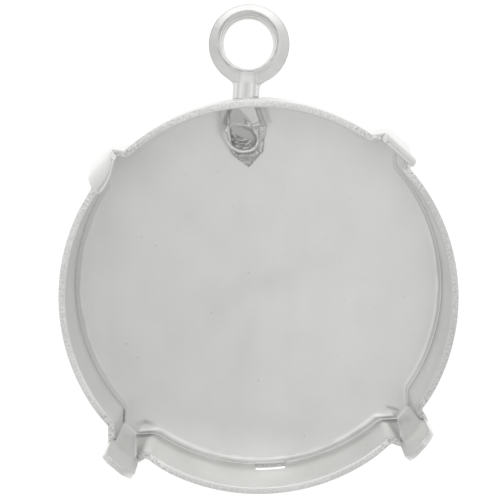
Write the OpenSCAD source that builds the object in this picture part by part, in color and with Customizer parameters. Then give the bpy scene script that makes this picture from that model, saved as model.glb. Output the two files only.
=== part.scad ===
// Round cup setting with four prongs, pressed from one sheet, and a hanging eye riveted through its wall.
// The part lies on its back: +Z is the open side that takes the stone and +Y points to the eye.
// The origin is the middle of the back. All sizes are in millimetres.

/* [Stone] */
// Diameter of the round stone that the cup is made for
stone_d = 27; // [25:0.5:30]
// Room between the stone's edge and the prongs
stone_gap = 0.05; // [0:0.05:0.15]
// How far the rim's inner edge stands in under the stone's edge
seat_in = 0.8; // [0.7:0.1:1]

/* [Cup] */
// Thickness of the pressed sheet
sheet = 0.5; // [0.4:0.05:0.55]
// Height of the rim over the back
rim_h = 5.7; // [5:0.1:6.5]
// How much wider the wall's radius is at the rim than at the floor
wall_flare = 0.1; // [0:0.05:0.2]
// Outer radius of the bend at the wall's foot
bend_r = 0.55; // [0.4:0.05:0.7]
// Height of the raised bead round the floor
bead_h = 0.06; // [0.02:0.02:0.1]
// Width of that bead
bead_w = 0.4; // [0.3:0.05:0.5]
// Width of the pressed groove between the bead and the wall
groove_w = 0.25; // [0.15:0.05:0.3]
// Depth of that groove
groove_d = 0.06; // [0.02:0.02:0.1]

/* [Prongs] */
// Height of the prongs' tips over the back
tip_h = 8.7; // [7.5:0.1:10]
// Width of a prong
prong_w = 2.4; // [2.2:0.1:2.6]
// Height of the corner taken off each side of a prong's tip
tip_corner_h = 0.45; // [0.2:0.05:0.6]
// Width of that corner
tip_corner_w = 0.63; // [0.3:0.05:0.8]
// Inside width of a prong's channel where it leaves the wall, at the floor
channel_mouth_w = 3.05; // [2.8:0.05:3.3]
// Inside width of the channel at the prong's foot
channel_foot_w = 1.1; // [0.9:0.05:1.3]
// Inside width of the channel at the rim
channel_top_w = 1.95; // [1.8:0.05:2.1]
// Height of the notches beside a prong, over the back
notch_h = 4.4; // [4:0.1:4.7]
// Radius that rounds the rim down to a notch
rim_corner_r = 3.2; // [2.6:0.1:3.6]
// How far from a prong's middle the rim starts to drop
rim_corner_x = 3.6; // [3.2:0.1:4]

/* [Slots] */
// Width of the slots in the wall's foot, under the eye and opposite it
slot_w = 2.05; // [1.9:0.05:2.3]
// Height of a slot's top edge over the back
slot_top = 1.9; // [1.85:0.05:2.1]
// Radius at which a slot's cut starts in the floor
slot_start_r = 12.75; // [12.6:0.05:12.9]

/* [Hanging eye] */
// Outer diameter of the ring
ring_d = 5.35; // [4.8:0.05:6]
// Thickness of the ring
ring_t = 1.45; // [1.2:0.05:1.5]
// Radius that rounds the ring's outer edges
ring_edge_r = 0.58; // [0.3:0.02:0.58]
// Diameter of the ring's hole at its narrowest
hole_d = 3.35; // [3:0.05:3.5]
// Diameter of the hole's front and back edges
hole_edge_d = 4.1; // [3.8:0.05:4.2]
// How far the front edge stands off centre, away from the cup
hole_edge_off = 0.22; // [0:0.02:0.24]
// Diameter of the shank
shank_d = 1.8; // [1.6:0.05:1.85]
// Radius of the fillets between the shank and the ring
shank_fillet_r = 0.55; // [0.3:0.05:0.7]
// Distance from the wall to the ring's centre
eye_reach = 3.55; // [3.3:0.05:4.2]
// Height of the shank's middle over the back, at the wall
eye_h = 1.2; // [1.15:0.01:1.25]
// Angle that the eye leans to one side
eye_lean = 7.5; // [0:0.5:9]
// Angle that the eye dips towards the back
eye_dip = 4; // [0:0.5:4]

/* [Rivet tail] */
// Diameter of the neck that passes through the slot
neck_d = 1.22; // [1:0.02:1.26]
// Width of the crushed end inside the cup
tail_w = 3; // [2.6:0.1:3.2]
// Length of the crushed end, from the wall to its lip
tail_l = 3; // [2.6:0.1:3.4]
// Height of the crushed end
tail_h = 1.75; // [1.4:0.05:2]
// Angle at which its top falls from the wall to the lip
tail_slope = 14; // [8:1:16]
// Diameter of the open mouth
mouth_d = 1.9; // [1.6:0.05:2]
// Angle that the mouth leans back towards the wall
mouth_lean = 28; // [20:1:32]
// Length of the torn tongue that runs past the lip
tongue_l = 1.15; // [0.6:0.05:1.4]
// Thickness of that tongue
tongue_t = 0.35; // [0.25:0.05:0.45]

/* [Hidden] */
// Faces round a full circle of the cup and of the small parts
cup_fn = 192;
fine_fn = 64;
// Steps in a rounded edge
arc_steps = 8;
// Overlap that lets solids join, the gap kept between the two pieces, and how far a cut runs past its work
lap = 0.02;
gap = 0.04;
past = 1;
// Small step that keeps one solid's edges off another's
ease = 0.05;
// Radii of the wall's faces at the rim and at the floor
rim_in_r = stone_d / 2 - seat_in;
rim_out_r = rim_in_r + sheet;
foot_in_r = rim_in_r - wall_flare;
foot_out_r = foot_in_r + sheet;
// Radii at which the floor's groove and bead start
groove_in_r = foot_in_r - groove_w;
bead_in_r = groove_in_r - bead_w;
// Faces of the prongs, measured out from the middle
prong_in = stone_d / 2 + stone_gap;
prong_out = prong_in + sheet;
// Directions of the four prongs
prong_dirs = [45, 135, 225, 315];
// Distance out at which the channels' outer solids start, within the wall's thickness
core_r = rim_in_r + ease;
// Sideways offset of the crushed end, bent over with the eye
tail_off = -0.2;

// Points of an arc, from angle a to angle b
function arc(cx, cy, r, a, b, n = arc_steps) =
    [for (i = [0:n]) let (t = a + (b - a) * i / n) [cx + r * cos(t), cy + r * sin(t)]];

// A closed ring of points that lies the same on both sides of the prong's middle line
function both_sides(half) =
    concat([for (p = half) [p[0], -p[1]]], [for (i = [len(half) - 1:-1:0]) half[i]]);

// A solid through level outlines of the same number of points, from the lowest up
module loft(levels) {
    n = len(levels[0][1]);
    last = len(levels) - 1;
    points = [for (level = levels) for (p = level[1]) [p[0], p[1], level[0]]];
    bottom = [for (i = [0:n - 1]) i];
    top = [for (i = [n - 1:-1:0]) last * n + i];
    lower = [for (k = [0:last - 1]) for (i = [0:n - 1]) [k * n + i, k * n + n + i, k * n + (i + 1) % n]];
    upper = [for (k = [0:last - 1]) for (i = [0:n - 1])
        [k * n + n + i, k * n + n + (i + 1) % n, k * n + (i + 1) % n]];
    polyhedron(points, concat([bottom, top], lower, upper), convexity = 4);
}

// Outside of the round body, with the pressed bend at its foot
module body_outside() {
    rotate_extrude($fn = cup_fn)
        polygon(concat(
            [[0, 0]],
            arc(foot_out_r - bend_r, bend_r, bend_r, -90, 0),
            [[rim_out_r, rim_h], [0, rim_h]]
        ));
}

// Hollow of the round body: the floor with its bead and groove, and the wall's inside
module body_hollow() {
    bead_slope = bead_w * 0.3;
    groove_slope = groove_w * 0.4;
    groove_foot = groove_w * 0.2;
    // The wall's slope, carried on past the rim
    top_r = rim_in_r + wall_flare * past / (rim_h - sheet);
    rotate_extrude($fn = cup_fn)
        polygon([
            [0, sheet],
            [bead_in_r, sheet],
            [bead_in_r + bead_slope, sheet + bead_h],
            [groove_in_r - bead_slope / 2, sheet + bead_h],
            [groove_in_r + groove_slope, sheet - groove_d],
            [foot_in_r - groove_foot, sheet - groove_d],
            [foot_in_r, sheet],
            [top_r, rim_h + past],
            [0, rim_h + past]
        ]);
}

// Outside of one prong's channel, up to the rim
module channel_outside() {
    // The sheet's thickness across, where a flank leaves the wall at 45 degrees
    slant = sheet * cos(45);
    // Half widths of the channel's outer face at its foot, and of the corner beside it
    foot_face = channel_foot_w / 2 + sheet * 0.4;
    foot_corner = sheet * 0.45;
    top_corner = sheet * 0.9;
    foot = [
        [core_r, channel_mouth_w / 2 + slant],
        [prong_out - foot_corner, foot_face + foot_corner],
        [prong_out, foot_face]
    ];
    // The same outline at the back, drawn in by the bend
    sole_in = bend_r * 0.6;
    sole_narrow = bend_r * 0.35;
    sole = [for (p = foot) [p[0] == core_r ? core_r : p[0] - sole_in, p[1] - sole_narrow]];
    top = [
        [core_r, channel_top_w / 2 + sheet],
        [prong_out - top_corner, channel_top_w / 2 + sheet],
        [prong_out, prong_w / 2]
    ];
    loft([[0, both_sides(sole)], [bend_r * 0.7, both_sides(foot)], [rim_h, both_sides(top)]]);
}

// Hollow of one prong's channel, from the floor up past the rim
module channel_hollow() {
    start_r = groove_in_r - bead_w / 2;
    foot = [
        [start_r, channel_mouth_w / 2],
        [foot_in_r - 2 * ease, channel_mouth_w / 2],
        [prong_in, channel_foot_w / 2]
    ];
    top = [
        [start_r, channel_top_w / 2],
        [rim_in_r - ease, channel_top_w / 2],
        [prong_in, channel_top_w / 2 + ease]
    ];
    loft([[sheet, both_sides(foot)], [rim_h + past, both_sides(top)]]);
}

// What is cut away beside one prong: the rim's rounded corners, falling to the notches
module rim_corners() {
    // The edge's height where it turns out of the wall into the channel's flank
    turn_h = notch_h + 0.5;
    turn_r = rim_in_r - 2 * ease;
    arc_end = acos(1 - (rim_h - turn_h) / rim_corner_r);
    cut_w = channel_top_w + 2 * sheet + past;
    // Along the wall, an arc that leaves the rim and drops towards the channel
    for (side = [0, 1]) mirror([0, side, 0])
        translate([foot_in_r - past, 0, 0]) rotate([90, 0, 90])
            linear_extrude(height = prong_out - foot_in_r + 2 * past)
                polygon(concat(
                    [[0, rim_h + past], [rim_corner_x, rim_h + past]],
                    arc(rim_corner_x, rim_h - rim_corner_r, rim_corner_r, 90, 90 + arc_end),
                    [[0, turn_h]]
                ));
    // Along the channel's side, a slope down to the notch at the prong
    translate([0, cut_w / 2, 0]) rotate([90, 0, 0])
        linear_extrude(height = cut_w)
            polygon([
                [turn_r, turn_h],
                [prong_in, notch_h],
                [prong_out + past, notch_h],
                [prong_out + past, rim_h + past],
                [turn_r, rim_h + past]
            ]);
}

// The standing part of one prong, with its tip's corners taken off
module prong_blade() {
    root_h = notch_h - 0.6;
    half = prong_w / 2;
    root_half = half - 0.12;
    translate([prong_in, 0, 0]) rotate([90, 0, 90])
        linear_extrude(height = sheet)
            polygon([
                [-root_half, root_h], [root_half, root_h],
                [half, notch_h], [half, tip_h - tip_corner_h],
                [half - tip_corner_w, tip_h], [tip_corner_w - half, tip_h],
                [-half, tip_h - tip_corner_h], [-half, notch_h]
            ]);
}

// A slot through the wall's foot and its bend, on the +Y side
module slot_cut() {
    low = sheet - groove_d;
    wall_start = foot_in_r - groove_w - 3 * ease;
    translate([-slot_w / 2, wall_start, low]) cube([slot_w, 2 * past, slot_top - low]);
    translate([-slot_w / 2, slot_start_r, -past]) cube([slot_w, 2 * past, 2 * past]);
}

module cup() {
    color("silver") {
        difference() {
            union() {
                body_outside();
                for (a = prong_dirs) rotate(a) channel_outside();
            }
            body_hollow();
            for (a = prong_dirs) rotate(a) channel_hollow();
            for (a = prong_dirs) rotate(a) rim_corners();
            for (a = [0, 180]) rotate(a) slot_cut();
        }
        for (a = prong_dirs) rotate(a) prong_blade();
    }
}

// Places a child that is drawn along +Y from the wall's outer face, with the shank's axis on Y
module on_eye_axis() {
    translate([0, foot_out_r, eye_h]) rotate([0, 0, -eye_lean]) rotate([-eye_dip, 0, 0]) children();
}

// The ring, drawn round its own centre
module ring_body() {
    r = ring_d / 2;
    rotate_extrude($fn = fine_fn)
        polygon(concat(
            [[hole_d / 4, -ring_t / 2]],
            arc(r - ring_edge_r, -ring_t / 2 + ring_edge_r, ring_edge_r, -90, 0),
            arc(r - ring_edge_r, ring_t / 2 - ring_edge_r, ring_edge_r, 0, 90),
            [[hole_d / 4, ring_t / 2]]
        ));
}

// The hole: a short straight waist that opens to wider edges at the front and the back
module ring_hole() {
    waist_l = ring_t * 0.35;
    lead_l = (ring_t - waist_l) / 2;
    cylinder(d = hole_d, h = ring_t + past, center = true, $fn = fine_fn);
    // The front cone stands off centre and leans half as far again, so that its rim is cut eccentric
    front_lean = atan(hole_edge_off / lead_l) / 2;
    translate([0, hole_edge_off, waist_l / 2]) rotate([front_lean, 0, 0])
        cylinder(d1 = hole_d - 2 * ease, d2 = hole_edge_d + 3 * ease, h = lead_l * 1.2, $fn = fine_fn);
    mirror([0, 0, 1]) translate([0, 0, waist_l / 2])
        cylinder(d1 = hole_d, d2 = hole_edge_d, h = lead_l + lap, $fn = fine_fn);
}

// Web that blends the shank into the ring, drawn round the ring's centre
module ring_web() {
    side = shank_d / 2 + shank_fillet_r;
    low = -sqrt(pow(ring_d / 2 + shank_fillet_r, 2) - pow(side, 2));
    // The web ends inside the ring, short of its hole
    high = -hole_edge_d / 2 - 0.4;
    linear_extrude(height = ring_t * 0.8, center = true)
        difference() {
            translate([-side, low]) square([2 * side, high - low]);
            for (s = [-1, 1]) translate([s * side, low]) circle(r = shank_fillet_r, $fn = fine_fn);
        }
}

// The crushed, open end of the rivet inside the cup, drawn with its floor at z = 0
module tail() {
    r = tail_w / 2;
    draw_in_r = tail_l - r + 0.35;
    mouth_edge = 0.3;
    difference() {
        intersection() {
            union() {
                translate([-r, -tail_l + r, 0]) cube([tail_w, tail_l - r + past, tail_h]);
                translate([0, -tail_l + r, 0]) cylinder(r = r, h = tail_h, $fn = fine_fn);
            }
            // The top falls away from the wall to the lip
            translate([-r - past, -tail_l - past, 0]) rotate([tail_slope, 0, 0])
                cube([tail_w + 2 * past, tail_l + 3 * past, tail_h]);
            // The sides draw in towards the wall
            translate([0, -tail_l + r, -past]) cylinder(r = draw_in_r, h = tail_h + 2 * past, $fn = fine_fn);
        }
        translate([tail_off, -tail_l + mouth_d / 2 + mouth_edge, tail_h + mouth_edge]) rotate([-mouth_lean, 0, 0])
            cylinder(d = mouth_d, h = tail_h * 2, center = true, $fn = fine_fn);
    }
    // The torn tongue that lies on the floor past the lip
    linear_extrude(height = tongue_t)
        polygon([
            [-r * 0.8, -tail_l + r * 0.5], [-r * 0.35, -tail_l - tongue_l * 0.35], [ease * 5, -tail_l - tongue_l],
            [r * 0.55, -tail_l - tongue_l * 0.4], [r * 0.65, -tail_l + r * 0.5]
        ]);
}

module hanging_eye() {
    color("gainsboro") {
        difference() {
            on_eye_axis() {
                translate([0, eye_reach, 0]) ring_body();
                translate([0, eye_reach, 0]) ring_web();
                rotate([-90, 0, 0])
                    cylinder(d = shank_d, h = eye_reach - hole_edge_d / 2, $fn = fine_fn);
            }
            on_eye_axis() translate([0, eye_reach, 0]) ring_hole();
            // The shank's end is trimmed to the round wall
            cylinder(r = foot_out_r + gap, h = rim_h, $fn = cup_fn);
        }
        // The neck runs from the shank through the slot into the crushed end
        on_eye_axis() translate([0, -sheet * 2, 0]) rotate([-90, 0, 0])
            cylinder(d = neck_d, h = sheet * 3, $fn = fine_fn);
        // The crushed end lies on the floor's bead and against the round wall
        intersection() {
            translate([tail_off, foot_in_r, sheet + bead_h + gap]) rotate([0, 0, -eye_lean]) tail();
            cylinder(r = foot_in_r - gap, h = rim_h, $fn = cup_fn);
        }
    }
}

cup();
hanging_eye();
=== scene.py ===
from math import atan, atan2, cos, pi, radians, sin, sqrt, tan

import bmesh
import bpy
import numpy as np
from mathutils import Matrix, Vector, noise


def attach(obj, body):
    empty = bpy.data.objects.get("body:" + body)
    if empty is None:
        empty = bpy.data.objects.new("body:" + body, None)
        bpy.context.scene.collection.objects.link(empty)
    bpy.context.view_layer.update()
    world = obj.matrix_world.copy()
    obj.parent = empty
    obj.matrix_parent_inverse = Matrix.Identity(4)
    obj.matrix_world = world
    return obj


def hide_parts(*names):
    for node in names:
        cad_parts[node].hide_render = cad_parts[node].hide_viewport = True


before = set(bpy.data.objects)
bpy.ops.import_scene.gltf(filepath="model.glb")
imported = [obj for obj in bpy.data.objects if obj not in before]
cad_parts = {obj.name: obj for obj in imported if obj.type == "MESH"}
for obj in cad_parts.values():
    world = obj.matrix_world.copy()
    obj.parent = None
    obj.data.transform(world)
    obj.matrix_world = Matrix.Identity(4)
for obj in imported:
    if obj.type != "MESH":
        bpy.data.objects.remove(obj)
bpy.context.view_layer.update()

# The camera, placed as the setting was seen: from almost straight above its open side, leaning over the
# hanging eye. The cup is turned a few degrees in the picture, and lies on its back on a plain white table.
mm = 0.001
# One picture pixel on the cup's floor, and the camera's distance, in those pixels
pixel = 0.0689 * mm
camera_distance = 1700
picture_size = 500
sensor_width = 36
# Where the cup's middle falls in the picture, and how the view leans and the cup is turned
cup_middle = (258.5, 287.2)
view_lean = radians(8.44)
view_sway = radians(-0.43)
cup_turn = radians(3.8)
floor_height = 0.5 * mm


def from_picture(right, down, up):
    """A direction given right, down and up out of the picture, in the cup's own axes."""
    x = cos(cup_turn) * right - sin(cup_turn) * down
    y = -sin(cup_turn) * right - cos(cup_turn) * down
    return Vector((x, y, up))


picture_right = from_picture(cos(view_sway), 0, sin(view_sway))
picture_down = from_picture(-sin(view_sway) * sin(view_lean), cos(view_lean), cos(view_sway) * sin(view_lean))
look = from_picture(sin(view_sway) * cos(view_lean), sin(view_lean), -cos(view_sway) * cos(view_lean))
half_picture = picture_size / 2
place = (half_picture - cup_middle[0]) * picture_right + (half_picture - cup_middle[1]) * picture_down
place -= camera_distance * look
camera = bpy.data.objects.new("camera", bpy.data.cameras.new("camera"))
camera.data.lens = sensor_width * camera_distance / picture_size
camera.data.sensor_width = sensor_width
camera.data.clip_start = 10 * mm
camera.matrix_world = Matrix.Translation(place * pixel + Vector((0, 0, floor_height))) @ Matrix(
    (picture_right, -picture_down, -look)
).transposed().to_4x4()
bpy.context.scene.collection.objects.link(camera)
bpy.context.scene.camera = camera

# The table: one sheet of matt white paper, much wider than the cup that lies on it. The paper glows evenly of
# itself, so it stays white and the cup throws hardly a shadow on it.
table_half = 0.6
paper_grey = 0.3
paper_glow = 0.9
table = bpy.data.objects.new("table", bpy.data.meshes.new("table"))
corners = [(x * table_half, y * table_half, 0) for x, y in ((-1, -1), (1, -1), (1, 1), (-1, 1))]
table.data.from_pydata(corners, [], [(0, 1, 2, 3)])
white_paper = bpy.data.materials.new("white_paper")
white_paper.use_nodes = True
paper = white_paper.node_tree.nodes["Principled BSDF"]
paper.inputs["Base Color"].default_value = (paper_grey, paper_grey, paper_grey, 1)
paper.inputs["Roughness"].default_value = 0.9
paper.inputs["Specular IOR Level"].default_value = 0.2
paper.inputs["Emission Color"].default_value = (1, 1, 1, 1)
paper.inputs["Emission Strength"].default_value = paper_glow
table.data.materials.append(white_paper)
bpy.context.scene.collection.objects.link(table)

# The light: a white tent that is bright all round and a little darker overhead, where the camera looks in,
# with a soft light on each side of the camera and a stronger one past the hanging eye. None is coloured.
tent = bpy.data.worlds.new("light_tent")
tent.use_nodes = True
nodes, links = tent.node_tree.nodes, tent.node_tree.links
direction = nodes.new("ShaderNodeTexCoord")
split = nodes.new("ShaderNodeSeparateXYZ")
links.new(direction.outputs["Generated"], split.inputs["Vector"])
tent_shade = nodes.new("ShaderNodeValToRGB")
tent_shade.color_ramp.interpolation = "EASE"
# How bright the tent is, from the table's level up to overhead
tent_stops = [(0.0, 0.70), (0.12, 0.62), (0.60, 0.68), (1.0, 0.58)]
for number, (height, shade) in enumerate(tent_stops):
    ramp = tent_shade.color_ramp.elements
    stop = ramp[number] if number < 2 else ramp.new(height)
    stop.position = height
    stop.color = (shade, shade, shade, 1)
links.new(split.outputs["Z"], tent_shade.inputs["Fac"])
links.new(tent_shade.outputs["Color"], nodes["Background"].inputs["Color"])
nodes["Background"].inputs["Strength"].default_value = 1.0
bpy.context.scene.world = tent
bpy.context.scene.view_settings.view_transform = "Standard"

# Each light's place and size in metres, and its power in watts
for name, where, size, power in [
    ("left_light", (-0.16, 0.02, 0.26), (0.12, 0.3), 0.026),
    ("right_light", (0.16, 0.02, 0.26), (0.12, 0.3), 0.026),
    ("far_light", (0, 0.16, 0.26), (0.3, 0.16), 0.105),
]:
    lamp = bpy.data.lights.new(name, "AREA")
    lamp.shape = "RECTANGLE"
    lamp.size, lamp.size_y = size
    lamp.energy = power
    softbox = bpy.data.objects.new(name, lamp)
    softbox.location = where
    softbox.rotation_euler = Vector(softbox.location).to_track_quat("Z", "Y").to_euler()
    bpy.context.scene.collection.objects.link(softbox)

# The cup: one disc of brass sheet, pressed into a low round dish with four prongs standing in channels of
# its wall, then silver plated. Its edges are sheared, and two slots are cut in the wall's foot.
sheet = 0.5 * mm
rim_height = 5.7 * mm
foot_radius = 12.6 * mm
rim_radius = 12.7 * mm
# The last row of the pressed bend round the wall's foot, outside: how far behind the inner face and how high
bend_depth = sheet - 0.042 * mm
bend_height = 0.34 * mm
slot_half = 1.025 * mm
slot_top = 1.9 * mm
# The channel of a prong at the foot and at the rim: how far out the prong's face stands, half its width
# between the flanks, and the round between face and flank. The flanks turn 45 degrees out of the face at the
# foot and more at the rim.
face_out = (13.45 * mm, 13.56 * mm)
face_half = (0.55 * mm, 0.95 * mm)
face_round = (0.12 * mm, 0.2 * mm)
foot_turn = 45
wall_round = 0.75 * mm
# The notches beside a prong, how far along the sheet the rim comes down to them, and the prong above them
notch_height = 5.2 * mm
rim_dip_length = 3.0 * mm
prong_half = 1.2 * mm
tip_height = 8.7 * mm
# Share of the round between face and flank that belongs to the prong, and how far past the prong's edge the
# wall leans with it, as a share of half the prong's width
prong_share = 0.62
follow_share = 0.9
# How the four prongs differ, in degrees and millimetres, with left and right as seen from the cup's middle.
# direction: where the prong stands round the cup
# out: how far out the channel and the prong stand at each of the shape heights
# twist, bow: how far the tip's left edge turns in and its right edge out, and how far its middle bends in
# shift: how far to the left the foot stands, and all that is above the notches
# flanks, notch: the left and the right flank's turn at the rim, and the left and the right notch's height
# worn: how deep into the sheet, and how far down, the tip's outer edge is rounded
# corners: the drop and the width of the tip's rounded left and right corner
shape_heights = [0.5, 2.8, 5.2, 8.7]
prongs = [
    {
        "direction": 45, "out": (0, 0.16, -0.20, -0.30), "twist": 0.0, "bow": 0.0, "shift": (0.0, -0.2),
        "flanks": (66, 66), "notch": (5.2, 5.2), "worn": (0.38, 1.1), "corners": ((0.2, 0.25), (0.25, 0.3)),
    },
    {
        "direction": 135, "out": (0, 0.12, -0.24, -0.80), "twist": 0.36, "bow": 0.24, "shift": (0.0, 0.05),
        "flanks": (66, 66), "notch": (5.2, 5.2), "worn": (0.38, 1.1), "corners": ((0.3, 0.3), (0.1, 0.15)),
    },
    {
        "direction": 225, "out": (0.08, 0.05, 0.02, 0.14), "twist": 0.0, "bow": 0.0, "shift": (-0.16, 0.06),
        "flanks": (84, 54), "notch": (4.85, 5.2), "worn": (0.06, 0.1), "corners": ((0.6, 0.9), (0.3, 0.5)),
    },
    {
        "direction": 315, "out": (0, 0, 0.02, 0.16), "twist": 0.0, "bow": 0.0, "shift": (0.0, 0.06),
        "flanks": (74, 84), "notch": (5.2, 5.2), "worn": (0.08, 0.12), "corners": ((0.6, 0.9), (0.45, 0.7)),
    },
]
# Columns over each stretch of half an outline, from a prong's middle to halfway to the next prong
face_columns, prong_round_columns, rest_round_columns, flank_columns = 5, 4, 3, 3
wall_round_columns, wall_columns, slot_columns = 8, 32, 4
prong_edge = face_columns + prong_round_columns


def between(pair, lift):
    return pair[0] + (pair[1] - pair[0]) * lift


def smooth(low, high, value):
    """0 up to low and 1 from high on, with an even turn between them; low may be the larger."""
    share = min(max((value - low) / (high - low), 0.0), 1.0)
    return share * share * (3 - 2 * share)


def half_outline(lift, depth, top_turn):
    """From a prong's middle to halfway to the next one, as points with x along the prong's direction. Lift is
    0 at the cup's foot and 1 at its rim. Depth is how far outside the sheet's inner face the points lie."""
    turn = radians(between((foot_turn, top_turn), lift))
    out, half = between(face_out, lift) + depth, between(face_half, lift) + depth * tan(turn / 2)
    small, wide = max(between(face_round, lift) + depth, 0.02 * mm), wall_round - depth
    wall_radius = between((foot_radius, rim_radius), lift) + depth
    heading, outward = np.array([-sin(turn), cos(turn)]), np.array([cos(turn), sin(turn)])
    # The wall's bend touches the flank's line and the round wall
    base = np.array([out, half]) + wide * outward
    along = base @ heading
    bend_middle = base + heading * (-along - sqrt(along**2 - base @ base + (wall_radius + wide) ** 2))
    bend_end = atan2(bend_middle[1], bend_middle[0])
    small_middle = np.array([out - small, half - small * tan(turn / 2)])
    slot_start = radians(45) - atan(slot_half / foot_radius)

    def ray(start, end, number, last=False):
        angles = np.linspace(start, end, number, endpoint=last)
        return np.column_stack([np.cos(angles), np.sin(angles)])

    def line(start, end, number):
        return start + (end - start) * np.linspace(0, 1, number, endpoint=False)[:, None]

    return np.concatenate([
        line(np.array([out, 0]), small_middle + np.array([small, 0]), face_columns),
        small_middle + small * ray(0, turn * prong_share, prong_round_columns),
        small_middle + small * ray(turn * prong_share, turn, rest_round_columns),
        line(small_middle + small * outward, bend_middle - wide * outward, flank_columns),
        bend_middle - wide * ray(turn, bend_end, wall_round_columns),
        wall_radius * ray(bend_end, slot_start, wall_columns),
        wall_radius * ray(slot_start, radians(45), slot_columns + 1, True),
    ])


def walk(top_turn):
    """Distance along the middle of the sheet, from the prong's middle to each column."""
    steps = np.linalg.norm(np.diff(half_outline(1, sheet / 2, top_turn), axis=0), axis=1)
    return np.concatenate([[0], np.cumsum(steps)])


walks = {turn: walk(turn) for prong in prongs for turn in prong["flanks"]}
half_columns = len(walks[prongs[0]["flanks"][0]])
# Heights of the wall's rows up to the slots' top, then shares of the way from there to the rim, and of the
# free prong's height
low_rows = np.array([0.61, 0.77, 1.0, 1.3, 1.7, 1.9]) * mm
high_rows = np.linspace(0, 0.97, 9)[1:]
prong_rows = np.array([0.04, 0.11, 0.21, 0.34, 0.48, 0.63, 0.78, 0.92])
# The top edges are rounded over: how far the rim's and the tips' inner edge and the rim's outer edge are, and
# the rows over the round
inner_edge_round = 0.1 * mm
rim_edge_round = 0.06 * mm
round_rows = np.sin(np.radians([0, 15, 30, 45, 60, 75, 90]))
# The floor's edge from inside out. The columns: inset from the wall; along the low side the rise of a bead,
# and the drop of the groove between it and the wall; along the other sides the rise towards the wall; then
# inset and height of the back
floor_edge = np.array([
    [1.05, 0.0, 0.0, 0.0, 1.05, 0.0], [0.97, 0.0, 0.0, 0.0, 0.97, 0.0],
    [0.90, 0.0, 0.0, 0.0, 0.90, 0.0], [0.84, 0.0, 0.0, 0.0, 0.84, 0.0],
    [0.78, 0.001, 0.0, 0.0, 0.78, 0.0], [0.73, 0.002, 0.0, 0.0, 0.73, 0.0],
    [0.68, 0.004, 0.0, 0.0, 0.68, 0.0], [0.60, 0.014, 0.0, 0.0, 0.60, 0.0],
    [0.53, 0.032, 0.0, 0.0, 0.53, 0.0], [0.46, 0.055, 0.0, 0.001, 0.46, 0.0],
    [0.39, 0.079, 0.0, 0.005, 0.38, 0.0], [0.33, 0.097, 0.0, 0.013, 0.31, 0.0],
    [0.27, 0.104, 0.0, 0.022, 0.25, 0.0], [0.21, 0.088, 0.008, 0.031, 0.18, 0.0],
    [0.16, 0.050, 0.018, 0.039, 0.12, 0.0], [0.12, 0.015, 0.026, 0.045, 0.04, 0.0],
    [0.08, 0.0, 0.024, 0.051, -0.16, 0.042], [0.03, 0.0, 0.0, 0.055, -0.339, 0.161],
]) * mm
slot_first_row = len(floor_edge) - 1
# The floor's rings inside that edge, as shares of the way out to it
inner_rings = np.array([
    0.02, 0.1, 0.25, 0.4, 0.55, 0.68, 0.76, 0.8, 0.84, 0.87, 0.9, 0.93, 0.95, 0.965, 0.98, 0.99
])
# Where bead and groove start beside a prong, along the sheet from its middle, and where the low side starts
# round the cup, as the sine of the bearing
bead_start = (0.9 * mm, 1.7 * mm)
groove_start = (1.5 * mm, 3.0 * mm)
low_side_start = (-0.66, -0.74)


def left_or_right(pair, side):
    """The first of a pair on a prong's left side, which is side 1, and the second on its right, side -1."""
    return pair[0 if side > 0 else 1]


def flank_of(prong, side):
    return left_or_right(prong["flanks"], side)


def notch_of(prong, side):
    return left_or_right(prong["notch"], side) * mm


def curve(heights, values, height):
    """A smooth curve through values at given heights."""
    slopes = np.gradient(values, heights)
    k = int(np.clip(np.searchsorted(heights, height) - 1, 0, len(heights) - 2))
    span = heights[k + 1] - heights[k]
    t = min(max((height - heights[k]) / span, 0.0), 1.0)
    return (
        (2 * t**3 - 3 * t * t + 1) * values[k] + (t**3 - 2 * t * t + t) * span * slopes[k]
        + (3 * t * t - 2 * t**3) * values[k + 1] + (t**3 - t * t) * span * slopes[k + 1]
    )


def pressed(prong, side, number, height):
    """How far outwards and to the left a point of a prong or its channel stands from the plain outline."""
    walked = walks[flank_of(prong, side)]
    share = walked[number] / walked[prong_edge]
    # The wall beside a prong follows it less and less
    held = max(0.0, 1 - max(0.0, share - 1) / follow_share)
    out = curve(shape_heights, prong["out"], height / mm) * held
    lift = min(max((height - floor_height) / (notch_height - floor_height), 0), 1)
    left = between(prong["shift"], lift) * held
    if number <= prong_edge:
        # The free prong starts in an arc over the notches
        start = notch_height + 0.7 * mm * (1 - share**2)
        above = max(0.0, height - start) / (tip_height - start)
        out -= (prong["twist"] * side * share + prong["bow"] * (1 - share**2)) * above**1.5
    return out * mm, left * mm


def wall_top(prong, side, number):
    """Height of the wall's edge: it comes down to the notches beside a prong."""
    walked = walks[flank_of(prong, side)]
    dip = np.clip(1 - (walked[number] - walked[prong_edge]) / rim_dip_length, 0, 1) ** 2
    notch = notch_of(prong, side)
    return notch if number <= prong_edge else rim_height - (rim_height - notch) * dip


def tip_of(prong, side, across):
    """Height of a prong's tip at a distance from its middle line: its corners are rounded off."""
    drop, width = left_or_right(prong["corners"], side)
    over = max(0.0, abs(across) - (prong_half - width * mm)) / (width * mm)
    return tip_height - drop * mm * over**1.6


outlines = {}


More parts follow.
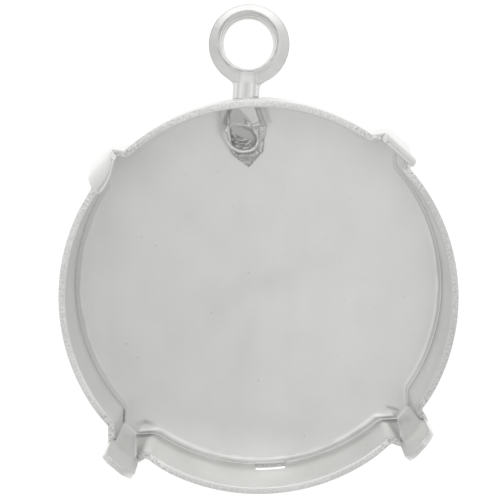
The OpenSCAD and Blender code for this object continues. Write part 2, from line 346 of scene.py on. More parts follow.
def sheet_point(prong, side, number, height, depth):
    """A point of the sheet in the prong's own axes, at a height and a depth outside the inner face."""
    lift = min(max((height - floor_height) / (rim_height - floor_height), 0.0), 1.0)
    key = (round(lift, 4), round(depth / mm, 4), flank_of(prong, side))
    if key not in outlines:
        outlines[key] = half_outline(lift, depth, flank_of(prong, side))
    x, y = outlines[key][number]
    walked = walks[flank_of(prong, side)]
    if number <= prong_edge:
        # The channel's end flattens into the free prong
        free = smooth(notch_height - 0.5 * mm, notch_height + 0.8 * mm, height)
        x += (face_out[1] + depth - x) * free
        y += (prong_half * walked[number] / walked[prong_edge] - y) * free
    out, left = pressed(prong, side, number, height)
    return x + out, y * side + left


def column_rows(prong, side, number):
    """Inner and outer points of one column, from the floor to its top: x, y, z of each."""
    rows = []
    x, y = sheet_point(prong, side, number, floor_height, 0)
    upward = sin(radians(prong["direction"]) + atan2(y, x))
    # Bead, groove and slope all run out in front of a prong
    walked = walks[flank_of(prong, side)][number]
    beside, grooved = smooth(*bead_start, walked), smooth(*groove_start, walked)
    uneven = 1 + 0.25 * noise.noise(Vector((x * 400, y * 400, prong["direction"])))
    low = uneven * beside * smooth(*low_side_start, upward)
    sloped = beside * smooth(*low_side_start[::-1], upward) * (1 - 0.7 * smooth(0.1, 0.75, upward))

    def inwards(inset):
        # Farther in, the rows run more and more in a plain circle past the channels
        reach = np.hypot(x, y)
        plain = smooth(0.4 * mm, 1.05 * mm, inset) * 0.8
        return (reach + (foot_radius - reach) * plain - inset) / reach

    for inset, rise, drop, slope, back_inset, back_height in floor_edge:
        height = floor_height + (rise - drop * grooved) * low + slope * sloped
        inside = (x * inwards(inset), y * inwards(inset), height)
        if back_inset > 0:
            outside = (x * inwards(back_inset), y * inwards(back_inset), back_height)
        else:
            outside = (*sheet_point(prong, side, number, 0, -back_inset), back_height)
        rows.append((inside, outside))
    (near_x, near_y, z), (back_x, back_y, _) = rows[0]
    rows = [((near_x * g, near_y * g, z), (back_x * g, back_y * g, 0)) for g in inner_rings] + rows
    notch, top = notch_of(prong, side), wall_top(prong, side, number)
    heights = list(low_rows) + [slot_top + (top - slot_top) * f for f in high_rows]
    heights += [top - inner_edge_round * (1 - f) for f in round_rows]
    tip, thin, tall = top, rim_edge_round, rim_edge_round
    if number <= prong_edge:
        tip = tip_of(prong, side, prong_half * walked / walks[flank_of(prong, side)][prong_edge])
        thin, tall = np.array(prong["worn"]) * mm
        heights += [notch + (tip - tall - notch) * f for f in prong_rows]
        heights += [tip - tall * (1 - f) for f in round_rows]
    for height in heights:
        # The lowest row's outer point is still in the pressed bend
        bent = height < low_rows[1]
        depth = bend_depth if bent else sheet
        depth -= thin * (1 - sqrt(1 - max(0.0, (height - tip + tall) / tall) ** 2))
        over = max(0.0, height - tip + inner_edge_round)
        rounded = inner_edge_round - sqrt(max(inner_edge_round**2 - over**2, 0))
        inside = sheet_point(prong, side, number, height, rounded)
        outside = sheet_point(prong, side, number, height, depth)
        rows.append(((*inside, height), (*outside, bend_height if bent else height)))
    return rows + [rows[-1]] * (full_rows - len(rows))


wall_rows = len(inner_rings) + len(floor_edge) + len(low_rows) + len(high_rows) + len(round_rows)
full_rows = wall_rows + len(prong_rows) + len(round_rows)
slot_first = len(inner_rings) + slot_first_row
slot_last = len(inner_rings) + len(floor_edge) + len(low_rows) - 1
columns = []
for prong in prongs:
    turn = radians(prong["direction"])
    spin = np.array([[cos(turn), -sin(turn), 0], [sin(turn), cos(turn), 0], [0, 0, 1]])
    for side in (-1, 1):
        # Each half ends where the next prong's half begins
        numbers = range(half_columns - 1, 0, -1) if side < 0 else range(half_columns - 1)
        for number in numbers:
            rows = np.array(column_rows(prong, side, number))
            slotted = number >= half_columns - 1 - slot_columns
            behind = prong["direction"] + side * 45
            columns.append({
                "rows": rows @ spin.T,
                "prong": number <= prong_edge,
                "slot": slotted and behind % 180 == 90,
                "walked": walks[flank_of(prong, side)][number] / mm,
            })
count = len(columns)
inner = np.array([c["rows"][:, 0] for c in columns])
outer = np.array([c["rows"][:, 1] for c in columns])
middles = [[0, 0, floor_height], [0, 0, 0]]
vertices = np.concatenate([inner.reshape(-1, 3), outer.reshape(-1, 3), middles])
outer_start = count * full_rows
middle_top, middle_back = len(vertices) - 2, len(vertices) - 1


def kept(column, row):
    """Whether the sheet has a cell between this column and the next, from this row to the next."""
    here, beyond = columns[column % count], columns[(column + 1) % count]
    if row < 0 or row >= full_rows - 1:
        return False
    if row >= wall_rows - 1:
        return here["prong"] and beyond["prong"]
    in_slot = here["slot"] and beyond["slot"]
    # The free slot is a little lower than the eye's
    last = slot_last if here["rows"][0, 0, 1] > 0 else slot_last - 1
    return not (in_slot and slot_first <= row < last)


# Two finishes: the pressed sheet's plated faces, and its sheared edges
plated, sheared = 0, 1
faces, finishes = [], []
for i in range(count):
    j = (i + 1) % count
    for row in range(full_rows - 1):
        if not kept(i, row):
            continue
        a, b = i * full_rows + row, j * full_rows + row
        c, d = b + 1, a + 1
        faces.append((a, b, c, d))
        finishes.append(plated)
        faces.append((outer_start + d, outer_start + c, outer_start + b, outer_start + a))
        finishes.append(plated)
        # Sheared edges, wherever a neighbour is missing
        for gone, p, q in [
            (not kept(i - 1, row), d, a), (not kept(i + 1, row), b, c),
            (row > 0 and not kept(i, row - 1), a, b), (not kept(i, row + 1), c, d),
        ]:
            if gone:
                faces.append((q, p, outer_start + p, outer_start + q))
                finishes.append(sheared)
    faces.append((j * full_rows, i * full_rows, middle_top))
    finishes.append(plated)
    faces.append((outer_start + i * full_rows, outer_start + j * full_rows, middle_back))
    finishes.append(plated)

cup_mesh = bpy.data.meshes.new("cup")
cup_mesh.from_pydata(vertices.tolist(), [], faces)
cup_mesh.polygons.foreach_set("material_index", finishes)

# Painted shade and tarnish in one value: 0 on plain plate, more where painted shade and dull plate darken it,
# and less where a painted highlight brightens it. It goes by places in millimetres, and by how far along the
# sheet from the nearest prong's middle a place is. The channels get painted shade over this much on both
# sides of that middle.
channel_half = 1.25
# Marks: how dark each is, from where to where it runs, and its width. A painted shadow line lies on the
# bead before each low prong, and painted shade on the floor close beside the riveted tail.
bead_shadow_lines = [
    (0.35, (-9.0, -9.1), (-8.5, -8.98), 0.14),
    (0.5, (-8.5, -8.98), (-8.05, -9.15), 0.14),
    (0.9, (8.40, -9.00), (9.05, -9.24), 0.09),
]
tail_shadow_marks = [
    (0.5, (-1.85, 12.4), (-1.85, 10.9), 0.22),
    (0.35, (-1.75, 10.6), (-1.1, 9.3), 0.14),
    (0.5, (1.15, 12.6), (1.45, 11.4), 0.16),
]


def band(value, middle, width):
    """1 at the middle, falling to 0 on both sides of it."""
    return np.exp(-(((value - middle) / width) ** 2))


def ridge(x, y, start, end, width):
    """1 on the line from start to end, falling to 0 at either side and past the ends."""
    start, end, spot = np.array(start), np.array(end), np.array([x, y])
    along = np.clip((spot - start) @ (end - start) / ((end - start) @ (end - start)), 0, 1)
    return np.exp(-(((spot - start - along * (end - start)) / width) ** 2).sum())


def marked(x, y, marks):
    """What all the marks come to at a place."""
    return sum(strength * ridge(x, y, start, end, width) for strength, start, end, width in marks)


def foot_shade(x, y):
    """How much painted shade lies at the wall's foot: most at the two sides of the cup."""
    sideways = x * x / (x * x + y * y + 0.01)
    return 0.16 + 0.36 * sideways if y < 0 else 0.02 + 0.50 * sideways**2


def floor_edge_shade(x, y, inset, walked):
    """Painted shade along the wall, narrower on the low side, where the bead gets it too, most on a broken
    line.
    """
    left, low_side = x < 0, smooth(*low_side_start, y / np.hypot(x, y))
    strip = 0.14 + (0.18 if left else 0.12) * (1 - low_side) + 0.05 * noise.noise(Vector((x, y, 3)) * 0.9)
    shading_and_tarnish = foot_shade(x, y) * between((0.95 if left else 1.45, 0.70), low_side)
    shading_and_tarnish += (0.30 + 0.01 * x) * low_side
    shading_and_tarnish *= smooth(strip + 0.04, strip - 0.04, inset) * (1 if left or inset > 0.1 else 0.5)
    shading_and_tarnish *= smooth(0.9, 1.5, walked)
    if y < 0:
        patchy = noise.noise(Vector((x * 1.1, y * 1.1, 7)))
        bead = 0.34 + 0.10 * smooth(3, 6, abs(x)) + 0.01 * x + 0.2 * patchy
        bead *= smooth(0.50, 0.40, inset) * smooth(strip, strip + 0.08, inset)
        line = (1 + patchy) * band(inset, 0.52, 0.05) * (0.10 + 0.40 * smooth(6.5, 3.5, abs(x)))
        shading_and_tarnish += low_side * (bead + line)
    return shading_and_tarnish


def floor_shade_gradient(x, y):
    """Painted shading across the floor: darker to the left, but not along its left edge, and lighter towards
    the low side, but not at the lower right."""
    shading_and_tarnish = 0.014 * min(y, 0) - 0.013 * x - 0.09 * smooth(-10, -11.3, x)
    return shading_and_tarnish + 0.15 * smooth(-1, 3, x) * smooth(-8.5, -10.8, y)


def wall_shading(x, y, z, walked):
    """Painted shade on the wall: darker on the right than on the left, and darker upwards between the low
    prongs.
    """
    upward = y / np.hypot(x, y)
    shading_and_tarnish = foot_shade(x, y) * 0.35 * max(0.0, 1 - (z - 0.5) / 2.2) ** 2
    side_wall = 0.27 * smooth(3, 8, x) + 0.10 * smooth(0, -5, y)
    low_wall = (0.21 + 0.016 * x) * (0.3 + 0.7 * smooth(0.8, 2.2, z))
    wall = between((side_wall, low_wall), smooth(-0.70, -0.76, upward))
    beside_prong = 0.18 if x > 0 else 0.05
    shading_and_tarnish += between((beside_prong, wall), smooth(1.3, 2.3, walked)) * smooth(4, 0, y)
    share = walked / channel_half
    if share < 1.3:
        # Painted shade in the channels, up to the arc where the free prongs start
        arc = notch_height / mm + 0.1 + 0.75 * (1 - min(share, 1) ** 2)
        below = smooth(arc + 0.05, arc - 0.05, z) * smooth(0.9, 2.4, z)
        shading_and_tarnish += (0.12 + 0.2 * below) * min(1, (1.3 - share) / 0.3)
    if upward < -0.72:
        # Painted shade in the corners by a low prong, and a painted highlight on the wall's bend beside them
        shading_and_tarnish += 0.3 * smooth(2.6, 1.6, walked) * smooth(1.1, 1.5, walked) * smooth(1.7, 0.9, z)
        shading_and_tarnish += 0.45 * band(walked, 1.55, 0.18) * smooth(5.2, 4.6, z)
        shading_and_tarnish -= 0.06 * band(walked, 2.7, 0.5) * smooth(1.4, 2.6, z)
    return shading_and_tarnish


def outside_tarnish(x, y, z):
    """The outside is clouded, and duller towards the low side."""
    clouds = noise.noise(Vector((x, y, z)) * 0.5)
    return 0.07 + (0.24 + 0.12 * clouds) * smooth(4, -5, y)


def far_prong_shade(z):
    """Painted shade on the far prongs' backs, darker towards their tips."""
    return (0.1 * smooth(2.5, 5.0, z) + 0.6 * smooth(4.8, 8.4, z)) * smooth(8.71, 8.60, z)


cup_shading_and_tarnish, torn = np.zeros(len(vertices)), np.zeros(len(vertices))
rim_row = wall_rows - len(round_rows)
for number in range(len(vertices) - 2):
    x, y, z = vertices[number] / mm
    column, row = divmod(number % outer_start, full_rows)
    walked = columns[column]["walked"]
    edge_row = row - len(inner_rings)
    # Painted shade and painted highlights on the floor and the wall inside, with a few painted shadow marks
    if number < outer_start:
        if 0 <= edge_row < len(floor_edge):
            cup_shading_and_tarnish[number] = floor_edge_shade(x, y, floor_edge[edge_row, 0] / mm, walked)
        elif edge_row >= len(floor_edge):
            cup_shading_and_tarnish[number] = wall_shading(x, y, z, walked)
        if edge_row < len(floor_edge):
            cup_shading_and_tarnish[number] += floor_shade_gradient(x, y)
        # Painted shadow lines on the bead before the low prongs, and painted shade beside the riveted tail
        if y < -8 and z < 0.75:
            cup_shading_and_tarnish[number] += marked(x, y, bead_shadow_lines)
        if y > 8 and z < 1.5:
            cup_shading_and_tarnish[number] += marked(x, y, tail_shadow_marks)
    elif columns[column]["prong"] and y > 0:
        cup_shading_and_tarnish[number] = far_prong_shade(z)
    elif row < rim_row:
        cup_shading_and_tarnish[number] = outside_tarnish(x, y, z)
    if columns[column]["slot"] and y < 0 and row == slot_first:
        # Painted shadow on the free slot's cut face, at its foot
        cup_shading_and_tarnish[number] = 1.0
    if z > 5.55 and x > 8 and row < wall_rows:
        # The rim is darker on the right
        cup_shading_and_tarnish[number] = 0.22
    elif number < outer_start and rim_row <= row < wall_rows:
        # A painted highlight along the rim's inner edge on the low side
        edge_highlight = smooth(-1, -5, y) * smooth(2.2, 3.2, walked)
        cup_shading_and_tarnish[number] = between((cup_shading_and_tarnish[number], -0.22), edge_highlight)
    # The cut edges are torn most near the notches, and hardly on the free prongs
    near = 1 - abs(walked - 1.9) / 1.6
    torn[number] = 0.2 if row > wall_rows + 3 else 0.38 + 0.62 * max(0.0, near) ** 0.5
cup_mesh.attributes.new("shading_and_tarnish", "FLOAT", "POINT").data.foreach_set("value", cup_shading_and_tarnish)
cup_mesh.attributes.new("torn", "FLOAT", "POINT").data.foreach_set("value", torn)
shaping = bmesh.new()
shaping.from_mesh(cup_mesh)
bmesh.ops.delete(shaping, geom=[v for v in shaping.verts if not v.link_faces], context="VERTS")
bmesh.ops.recalc_face_normals(shaping, faces=shaping.faces)
for face in shaping.faces:
    face.smooth = True
shaping.to_mesh(cup_mesh)
shaping.free()
cup = bpy.data.objects.new("pressed_cup", cup_mesh)
bpy.context.scene.collection.objects.link(cup)
softened = cup.modifiers.new("softened_edges", "BEVEL")
softened.width = 0.04 * mm
softened.segments = 2
softened.limit_method = "ANGLE"
softened.angle_limit = radians(50)
softened.harden_normals = True
softened.use_clamp_overlap = False

# How much darker than clean plate full painted shade and tarnish make it
shading_depth = 0.42


def plate(name, shade, gloss, cloud=0.022, scratch=0.3, grain=0.0):
    """Silver plate with faint clouds, fine scratches and specks; grain makes it the rough face of a cut."""
    material = bpy.data.materials.new(name)
    material.use_nodes = True
    tree = material.node_tree
    shader = tree.nodes["Principled BSDF"]
    shader.inputs["Metallic"].default_value = 1.0
    spot = tree.nodes.new("ShaderNodeTexCoord")

    def mottled(scale, detail, stretch=(1, 1, 1), turn=0.0):
        """Soft spots all over the metal, or hairlines where they are stretched."""
        placed = tree.nodes.new("ShaderNodeMapping")
        placed.inputs["Scale"].default_value = stretch
        placed.inputs["Rotation"].default_value = (0, 0, turn)
        tree.links.new(spot.outputs["Object"], placed.inputs["Vector"])
        made = tree.nodes.new("ShaderNodeTexNoise")
        made.inputs["Scale"].default_value = scale
        made.inputs["Detail"].default_value = detail
        tree.links.new(placed.outputs["Vector"], made.inputs["Vector"])
        return made.outputs["Fac"]

    def spread(source, low, high, from_low=0.3, from_high=0.7, held=True):
        """Turns one range of values into another, and holds them within it."""
        mapped = tree.nodes.new("ShaderNodeMapRange")
        mapped.clamp = held
        mapped.inputs["From Min"].default_value = from_low
        mapped.inputs["From Max"].default_value = from_high
        mapped.inputs["To Min"].default_value = low
        mapped.inputs["To Max"].default_value = high
        tree.links.new(source, mapped.inputs["Value"])
        return mapped.outputs["Result"]

    def worked_out(operation, first, second):
        result = tree.nodes.new("ShaderNodeMath")
        result.operation = operation
        tree.links.new(first, result.inputs[0])
        tree.links.new(second, result.inputs[1])
        return result.outputs["Value"]

    def added(first, second):
        return worked_out("ADD", first, second)

    # Colour: soft clouds over the plate, small dark specks, and the mesh's painted shade, highlights and
    # tarnish
    clouds = spread(mottled(260, 4), shade - cloud, shade + cloud)
    specks = spread(mottled(3400, 2), -0.2, 0.0, 0.2, 0.27)
    shading_attribute = tree.nodes.new("ShaderNodeAttribute")
    shading_attribute.attribute_name = "shading_and_tarnish"
    shading_offset = spread(shading_attribute.outputs["Fac"], 0, -shading_depth, 0, 1, held=False)
    value = added(added(clouds, specks), shading_offset)
    if grain:
        # A cut edge is frosty, with bright and dark crumbs, most of all where it is torn
        rough_part = tree.nodes.new("ShaderNodeAttribute")
        rough_part.attribute_name = "torn"
        crumbs = spread(mottled(6500, 3), -grain, grain)
        value = added(value, worked_out("MULTIPLY", crumbs, rough_part.outputs["Fac"]))
    # Metal never throws back more light than falls on it, and this plate a touch less of the blue
    bounded = tree.nodes.new("ShaderNodeClamp")
    bounded.inputs["Min"].default_value = 0.03
    bounded.inputs["Max"].default_value = 0.98
    tree.links.new(value, bounded.inputs["Value"])
    value = bounded.outputs["Result"]
    tint = tree.nodes.new("ShaderNodeCombineColor")
    warm = tree.nodes.new("ShaderNodeMath")
    warm.operation = "MULTIPLY"
    warm.inputs[1].default_value = 0.985
    tree.links.new(value, warm.inputs[0])
    tree.links.new(value, tint.inputs["Red"])
    tree.links.new(value, tint.inputs["Green"])
    tree.links.new(warm.outputs["Value"], tint.inputs["Blue"])
    tree.links.new(tint.outputs["Color"], shader.inputs["Base Color"])
    # Gloss: clouded, duller in the scratches
    clouded = spread(mottled(420, 5), gloss - 0.05, gloss + 0.07)
    scratched = spread(mottled(60, 8, (60, 2, 60), 0.7), 0, 0.06)
    tree.links.new(added(clouded, scratched), shader.inputs["Roughness"])
    # Surface: hairline scratches in two directions and a fine tooth
    lines = added(
        spread(mottled(90, 10, (40, 1.2, 40), 0.5), 0, scratch, 0.5, 0.72),
        spread(mottled(90, 10, (1.2, 40, 40), 0.3), 0, scratch, 0.5, 0.72),
    )
    tooth = spread(mottled(5200 if grain else 9000, 3), 0, 0.25 + 3 * grain)
    bump = tree.nodes.new("ShaderNodeBump")
    bump.inputs["Distance"].default_value = 0.01 * mm * (1 + 4 * grain)
    bump.inputs["Strength"].default_value = 0.35 + 0.5 * grain
    tree.links.new(added(lines, tooth), bump.inputs["Height"])
    tree.links.new(bump.outputs["Normal"], shader.inputs["Normal"])
    return material


cup_mesh.materials.append(plate("satin_plate", 0.88, 0.33, scratch=0.15))
cup_mesh.materials.append(plate("sheared_edge", 0.87, 0.38, cloud=0.05, scratch=0.1, grain=0.3))
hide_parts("cup")
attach(cup, "root")

# The hanging eye: a brass ring on a round shank, turned in one piece and bored through, with a bevel cut
# off centre at the front of the hole. Its neck goes through the slot under the rim and is riveted inside.
ring_middle = np.array([0.0, 3.55]) * mm
ring_radius = 2.70 * mm
ring_half = 0.72 * mm
# The hole's circles, from the ring's middle: place across and along, and radius, of the waist and the edges
waist = (-0.055 * mm, 0.010 * mm, 1.64 * mm)
front_edge = (-0.085 * mm, 0.225 * mm, 2.01 * mm)
back_edge = (0.0, 0.0, 2.02 * mm)
# How far the waist is over and under the ring's middle, in front and behind, and the hole's edges, as shares
# of half the ring's thickness
front_waist, back_waist, edge_lift = 0.12, 0.30, 0.98
# The rings that the cutter left on the bevel: how high they are, and how many
cutter_height = 0.012 * mm
cutter_rings = 3.6
shank_radius = 0.9 * mm
neck_radius = 0.6 * mm
fillet_radius = 0.55 * mm
# How far the shank's foot stays off the wall
wall_gap = 0.006 * mm
# The eye leans to one side and down, as the rivet left it
eye_height = 1.2 * mm
eye_lean = radians(7.5)
eye_droop = radians(4)
eye_place = Matrix.Translation((0, foot_radius + sheet, eye_height)) @ Matrix.Rotation(-eye_lean, 4, "Z")
eye_place @= Matrix.Rotation(-eye_droop, 4, "X")


def tube_mesh(name, rings, closed_ring=False):
    """A mesh over rings of as many points each. It is capped at both ends, or runs round into itself."""
    number, around = len(rings), len(rings[0])
    skin = []
    for k in range(number if closed_ring else number - 1):
        for i in range(around):
            a, b = k * around, (k + 1) % number * around
            skin.append((a + i, a + (i + 1) % around, b + (i + 1) % around, b + i))
    if not closed_ring:
        skin += [tuple(range(around - 1, -1, -1)), tuple(range((number - 1) * around, number * around))]
    mesh = bpy.data.meshes.new(name)
    mesh.from_pydata([tuple(p) for ring in rings for p in ring], [], skin)
    return mesh


def ring_circles():
    """The ring's section as circles about its middle: across, along, radius and height of each."""
    circles = []
    for edge, waist_lift, up in ((front_edge, front_waist, 1), (back_edge, back_waist, -1)):
        half = []
        for t in np.linspace(0, 1, 22):
            # The bevel from the waist to the edge, a little hollow, with the cutter's rings in it
            spot = [waist[n] + (edge[n] - waist[n]) * t**1.15 for n in range(3)]
            spot[2] += cutter_height * sin(2 * pi * cutter_rings * t)
            half.append((*spot, up * ring_half * between((waist_lift, edge_lift), t)))
        for t in np.linspace(0, 1, 15)[1:]:
            # The face, which falls a little from the hole to the outside
            spot = [edge[0] * (1 - t), edge[1] * (1 - t), edge[2] + (ring_radius - 0.03 * mm - edge[2]) * t]
            half.append((*spot, up * (ring_half - 0.12 * t * mm)))
        half.append((0, 0, ring_radius, up * (ring_half - 0.24 * mm)))
        circles.append(half)
    front, back = circles
    return front + back[::-1]


around_ring = np.linspace(0, 2 * pi, 160, endpoint=False)
ring_rings = [
    [
        (x + r * cos(t) + ring_middle[0], y + r * sin(t) + ring_middle[1], z)
        for x, y, r, z in ring_circles()
    ]
    for t in around_ring
]
# The shank: a plain round bar from the cup's wall to the edge of the hole, and a flat web of two fillets
# between it and the ring
fillet_start = ring_middle[1] - sqrt((ring_radius + fillet_radius) ** 2 - (shank_radius + fillet_radius) ** 2)
hole_foot = ring_middle[1] + front_edge[1] - front_edge[2]


def bar(radius, tall, start, end, flare):
    """Rings of a bar along the eye's middle line. Its head follows the hole's edge, and its foot follows the
    wall if it starts there. It widens towards the ring in a fillet of the flare's radius."""
    rings = []
    on_wall = start == 0
    hole = front_edge[2]
    for step in np.linspace(0, 1, 30):
        y = start + (end - start) * step
        flared = min(max(y - fillet_start, 0), 0.9 * flare)
        wide = radius + flare - sqrt(flare**2 - flared**2)
        ring = []
        for t in np.linspace(0, 2 * pi, 48, endpoint=False):
            x, z = wide * cos(t), tall * sin(t)
            bow = hole - sqrt(hole**2 - min(abs(x), hole * 0.9) ** 2)
            along = y - bow * step**3
            if on_wall:
                # Slides the foot along the bar until it lies on the wall
                foot = Vector((x, y, z))
                for _ in range(4):
                    spot = eye_place @ foot
                    foot.y += foot_radius + sheet + wall_gap - np.hypot(spot.x, spot.y)
                along = foot.y * (1 - step) + (end - bow) * step
            ring.append((x, along, z))
        rings.append(ring)
    return rings


shank_rings = bar(shank_radius, shank_radius, 0, hole_foot + 0.03 * mm, 0)
web_rings = bar(shank_radius, ring_half * 0.8, fillet_start - 0.05 * mm, hole_foot, fillet_radius)
neck_rings = [
    [(neck_radius * cos(t), y, neck_radius * sin(t)) for t in np.linspace(0, 2 * pi, 40, endpoint=False)]
    for y in (-0.9 * mm, 0.2 * mm)
]

# The riveted tail inside the cup: the neck's end, bored out and crushed down over the slot. It is left as an
# open pouch with a rolled lip and a torn tongue past it. Places are across and along from the cup's middle,
# in millimetres.
tail_foot = 0.61 * mm
# How fine the tail's grid is, and the mesh of the whole eye
eye_grid = 0.035 * mm
# Where the tail ends, at the cup's wall
tail_end = 12.55
# The metal's edge is this high, and there is none where it would be lower than its least height
edge_height, least_height, least_top = 0.60, 0.64, 0.66
# The pouch's middle and half width, its width as a share of its length, and how far out its lip runs
pouch_middle = (-0.27, 10.95)
pouch_radius = 1.52
pouch_shape = 0.9
lip_radius = 1.36
# The torn tongue's corners, clockwise
tongue = [
    (-1.45, 10.2), (1.30, 10.2), (1.30, 9.75), (0.95, 9.40), (0.86, 8.80), (0.02, 8.22), (-0.80, 8.92),
    (-1.34, 9.50),
]
# The tail's sides above the pouch: where the left one starts, and places along the right one and across there
tail_left = -1.74
tail_right = ((11.1, 11.4, 11.8, 12.4), (1.32, 1.15, 1.0, 0.86))
# Where the bend in the upper plate starts at the wall, and how far it runs to the right for each step down
bend_start = (-0.48, 12.54)
bend_slope = 0.8
# The line under which the mouth's floor is crumpled: a place on it, and how far it falls to the right
crumple_place = (-0.6, 10.75)
crumple_slope = 0.55
# The mouth's sides, and its upper edge: places across, and how far along it is there
mouth_left, mouth_right = -1.17, 0.72
mouth_top = ((-1.13, -0.44, -0.04, 0.29, 0.60, 0.69), (11.56, 11.50, 11.26, 11.02, 10.53, 10.06))
# Folds at the mouth's right, nicks beside them, and cracks over it and down its left: how high each stands,
# or how deep it goes where that is below 0, from where to where it runs, and its width
left_crack = ((-1.22, 12.0), (-1.14, 10.5), 0.05)
creases = [
    (0.18, (0.38, 11.20), (0.95, 11.35), 0.16),
    (-0.18, (0.62, 10.95), (0.95, 10.90), 0.05),
    (0.20, (0.80, 10.80), (0.78, 10.60), 0.08),
    (-0.20, (0.75, 10.45), (1.00, 10.72), 0.05),
    (-0.09, (-0.20, 11.62), (-0.08, 11.36), 0.05),
    (-0.09, *left_crack),
]


def wander(x, y, scale, seed):
    """Goes up and down from place to place, between about -1 and 1, and more quickly at a larger scale."""
    return noise.noise(Vector((x * scale, y * scale, seed)))


def from_middle(x, y):
    """Distance from the pouch's middle, drawn in along the pouch so that it counts as round."""
    return np.hypot(x - pouch_middle[0], (y - pouch_middle[1]) * pouch_shape)


def mouth_share(x, y):
    """How far inside the open mouth a place is, from 0 on the metal round it to 1 on the mouth's floor."""
    from_lip = (lip_radius - 0.13 - from_middle(x, y)) * (1 - 0.7 * smooth(0.2, 0.6, x))
    from_left = x - mouth_left
    from_top = 0.25 * (np.interp(x, *mouth_top) - y) + 0.03 * wander(x, y, 3, 5)
    from_right = 0.3 * (mouth_right - x)
    return smooth(0.0, 0.09, min(from_lip, from_left, from_top, from_right))


def mouth_floor(x, y):
    """Height of the mouth's floor, which rises towards the wall and to the right."""
    return max(0.98, 0.96 + 0.48 * (y - 10.0)) + 0.22 * smooth(0.1, 0.7, x)


def crumpled(x, y):
    """1 in the mouth's lower part, where its floor is crumpled, and 0 in its upper part."""
    return smooth(0.1, 0.4, crumple_place[1] - y - crumple_slope * (x - crumple_place[0]))


def past_bend(x, y):
    """How far to the left of the bend in the tail's upper plate a place is."""
    return (bend_start[1] - y) * bend_slope - x + bend_start[0]


def inside_tail(x, y):
    """How far inside the tail's outline a place is, without the tongue."""
    if y > pouch_middle[1]:
        left = tail_left + 0.50 * ((y - pouch_middle[1]) / 1.6) ** 1.6
        right = np.interp(y, *tail_right)
        inside = min(x - left, right - x)
    else:
        inside = pouch_radius - from_middle(x, y)
    return inside + 0.05 * wander(x, y, 2.0, 1)


def inside_tongue(x, y):
    """How far inside the torn tongue's ragged outline a place is."""
    sides = zip(tongue, tongue[1:] + tongue[:1])
    return 0.07 * wander(x, y, 5, 3) + min(
        ((x - a[0]) * (b[1] - a[1]) - (y - a[1]) * (b[0] - a[0])) / np.hypot(b[0] - a[0], b[1] - a[1])
        for a, b in sides
    )


def rounded_edge(inside, width):
    """0 at an edge and 1 from a width inside it on, in a quarter round."""
    return sqrt(1 - (1 - min(inside / width, 1)) ** 2)


def tail_height(x, y):
    """Height of the tail's top over the cup's back at a place, or 0 where there is no metal."""
    height = 0.0
    inside = inside_tail(x, y)
    if inside > 0:
        crown = 1.28 + 0.62 * smooth(9.4, 12.3, y)
        height = edge_height + (crown - edge_height) * rounded_edge(inside, 0.42)
        # The upper plate falls to the left of its bend
        height -= 0.14 * smooth(0.0, 0.5, past_bend(x, y)) * smooth(11.2, 11.5, y)
        # The rolled lip runs round the mouth's lower left
        bearing = np.degrees(np.arctan2(y - pouch_middle[1], x - pouch_middle[0])) % 360
        lip = smooth(160, 182, bearing) * (1 - smooth(292, 318, bearing))
        height += 0.34 * lip * band(from_middle(x, y), lip_radius - 0.02, 0.15)
        # Past the lip's end the metal is folded down on the right
        height -= 0.30 * smooth(0.60, 0.95, x) * (1 - smooth(10.2, 10.9, y))
        # The mouth and its crumpled floor
        folds = 0.08 * sin(30 * from_middle(x, y) + 7 * wander(x, y, 1.4, 2)) + 0.09 * wander(x, y, 5, 7)
        height += (mouth_floor(x, y) + folds * crumpled(x, y) - height) * mouth_share(x, y)
        height += marked(x, y, creases)
    inside = inside_tongue(x, y)
    if inside > 0:
        torn_top = 0.86 + 0.14 * wander(x, y, 3.2, 4) + 0.05 * wander(x, y, 8, 6)
        height = max(height, edge_height + (torn_top - edge_height) * rounded_edge(inside, 0.12))
    return height if y < sqrt(tail_end**2 - x * x) else 0.0


across = np.arange(-2.0, 1.7, eye_grid / mm)
down = np.arange(8.05, 12.6, eye_grid / mm)
heights = np.array([[tail_height(x, y) for y in down] for x in across])
solid = heights > least_height
tail_points, tail_faces, corner_numbers = [], [], {}


def tail_corner(i, j, top):
    key = (i, j, top)
    if key not in corner_numbers:
        corner_numbers[key] = len(tail_points)
        level = max(heights[i, j], least_top) * mm if top else tail_foot
        tail_points.append((across[i] * mm, down[j] * mm, level))
    return corner_numbers[key]


# Each solid square has a top and a bottom, and a side wherever the next square isn't solid
for i in range(len(across) - 1):
    for j in range(len(down) - 1):
        if not solid[i, j]:
            continue
        square = [(i, j), (i + 1, j), (i + 1, j + 1), (i, j + 1)]
        tail_faces.append([tail_corner(*c, True) for c in square])
        tail_faces.append([tail_corner(*c, False) for c in reversed(square)])
        beyond = [(i, j - 1), (i + 1, j), (i, j + 1), (i - 1, j)]
        for a, b, next_square in zip(square, square[1:] + square[:1], beyond):
            if not solid[next_square]:
                edge_face = [(*b, True), (*a, True), (*a, False), (*b, False)]
                tail_faces.append([tail_corner(*c) for c in edge_face])
tail_mesh = bpy.data.meshes.new("tail")
tail_mesh.from_pydata(tail_points, [], tail_faces)

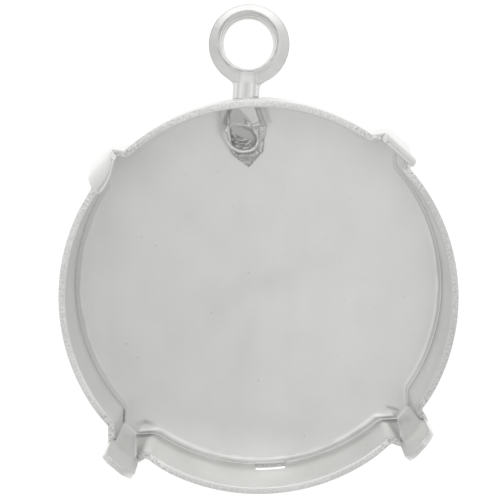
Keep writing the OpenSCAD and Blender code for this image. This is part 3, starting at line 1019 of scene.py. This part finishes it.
# Ring, shank, web, neck and tail are one piece of metal, so they are fused
eye_parts = bmesh.new()
for mesh, spot in [
    (tube_mesh("ring", ring_rings, True), eye_place),
    (tube_mesh("shank", shank_rings), eye_place),
    (tube_mesh("web", web_rings), eye_place),
    (tube_mesh("neck", neck_rings), eye_place),
    (tail_mesh, Matrix.Identity(4)),
]:
    mesh.transform(spot)
    eye_parts.from_mesh(mesh)
eye_mesh = bpy.data.meshes.new("hanging_eye")
eye_parts.to_mesh(eye_mesh)
eye_parts.free()
eye = bpy.data.objects.new("riveted_eye", eye_mesh)
bpy.context.scene.collection.objects.link(eye)
fused = eye.modifiers.new("fused", "REMESH")
fused.mode = "VOXEL"
fused.voxel_size = eye_grid
eased = eye.modifiers.new("eased", "SMOOTH")
eased.factor = 0.5
eased.iterations = 2
shaped = bpy.data.meshes.new_from_object(eye.evaluated_get(bpy.context.evaluated_depsgraph_get()))
eye.modifiers.clear()
eye.data = shaped
# Painted shading and tarnish go by places in millimetres. The shank ends this far from the wall, the bevel
# lies this near to the ring's middle, and the cutter's lines run in a circle about a place near that middle.
shank_end = 1.0
bevel_reach = 2.12
cut_middle = (-0.138, 0.26)
cut_radius = 2.05


def tail_shading(x, y, z):
    """Painted shade on the tail: dark in the mouth with lighter crests on its folds, on the torn tongue, low
    down, left of its bend and in the crack. Painted highlights brighten its lip and the plate to the right of
    the bend."""
    in_mouth, folds = mouth_share(x, y), crumpled(x, y)
    crest = smooth(-0.03, 0.06, z - mouth_floor(x, y))
    mouth = in_mouth * (0.48 - 0.4 * folds * crest + 0.25 * folds * (1 - crest))
    torn_tongue = smooth(9.55, 9.35, y) * (0.66 - 0.35 * smooth(0.84, 0.96, z))
    low = 0.6 * smooth(0.95, 0.70, z)
    bent_plate = 0.36 * smooth(0.0, 0.12, past_bend(x, y)) * smooth(11.3, 11.5, y) * (1 - in_mouth)
    shading_and_tarnish = max(mouth, torn_tongue, low, bent_plate, 0.45 * ridge(x, y, *left_crack))
    # A painted highlight on the rolled lip, and a fainter one on the upper plate right of the bend
    if z > 1.32 and y < 11.1 and abs(from_middle(x, y) - lip_radius) < 0.22:
        shading_and_tarnish = -0.4
    elif y > 11.2 and shading_and_tarnish < 0.02:
        shading_and_tarnish = -0.16 * smooth(1.25, 1.40, z)
    return shading_and_tarnish


def shank_shading(x):
    """Painted shading on the shank: two painted highlight lines, with painted shade at its edges and middle.
    """
    return 0.4 * smooth(0.6, 0.85, abs(x)) + 0.1 * band(x, 0, 0.2) - 0.4 * band(abs(x), 0.40, 0.14)


def ring_shading(x, y, facing_up):
    """Painted shade on the ring's flanks and towards -x; painted highlights at its far end and the shank's
    end.
    """
    along = y / np.hypot(x, y)
    far_end = smooth(0.35, 0.95, along)
    shading_and_tarnish = 0.8 * smooth(0.80, 0.35, facing_up) * (1 - far_end)
    shading_and_tarnish += 0.16 - 0.36 * far_end - 0.30 * smooth(-0.2, -0.8, along)
    return shading_and_tarnish + 0.12 * smooth(-0.5, -2.2, x)


def bevel_tarnish(x, y):
    """The cutter's lines along the bevel's edge are dark, more in some places than in others."""
    from_edge = np.hypot(x - cut_middle[0], y - cut_middle[1]) - cut_radius
    patchy = 0.6 + 0.5 * wander(x, y + ring_middle[1] / mm, 2.5, 8)
    return patchy * (band(from_edge, 0, 0.06) + 0.5 * band(from_edge, -0.17, 0.04))


eye_shading_and_tarnish = np.zeros(len(shaped.vertices))
to_eye = eye_place.inverted()
# Painted shade and painted highlights on tail, shank and ring, and the cutter's lines on the bevel
for number, vertex in enumerate(shaped.vertices):
    x, y, z = vertex.co / mm
    if y < tail_end:
        eye_shading_and_tarnish[number] = tail_shading(x, y, z)
        continue
    x, y, z = (to_eye @ vertex.co) / mm
    ring_y = y - ring_middle[1] / mm
    if np.hypot(x, ring_y) <= bevel_reach:
        eye_shading_and_tarnish[number] = bevel_tarnish(x, ring_y) if z > 0 else 0.0
    elif y < shank_end:
        eye_shading_and_tarnish[number] = shank_shading(x)
    else:
        eye_shading_and_tarnish[number] = ring_shading(x, ring_y, vertex.normal.z)
shaped.attributes.new("shading_and_tarnish", "FLOAT", "POINT").data.foreach_set("value", eye_shading_and_tarnish)
for polygon in shaped.polygons:
    polygon.use_smooth = True
shaped.materials.clear()
shaped.materials.append(plate("scratched_plate", 0.80, 0.28, scratch=0.6))
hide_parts("hanging_eye")
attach(eye, "root")
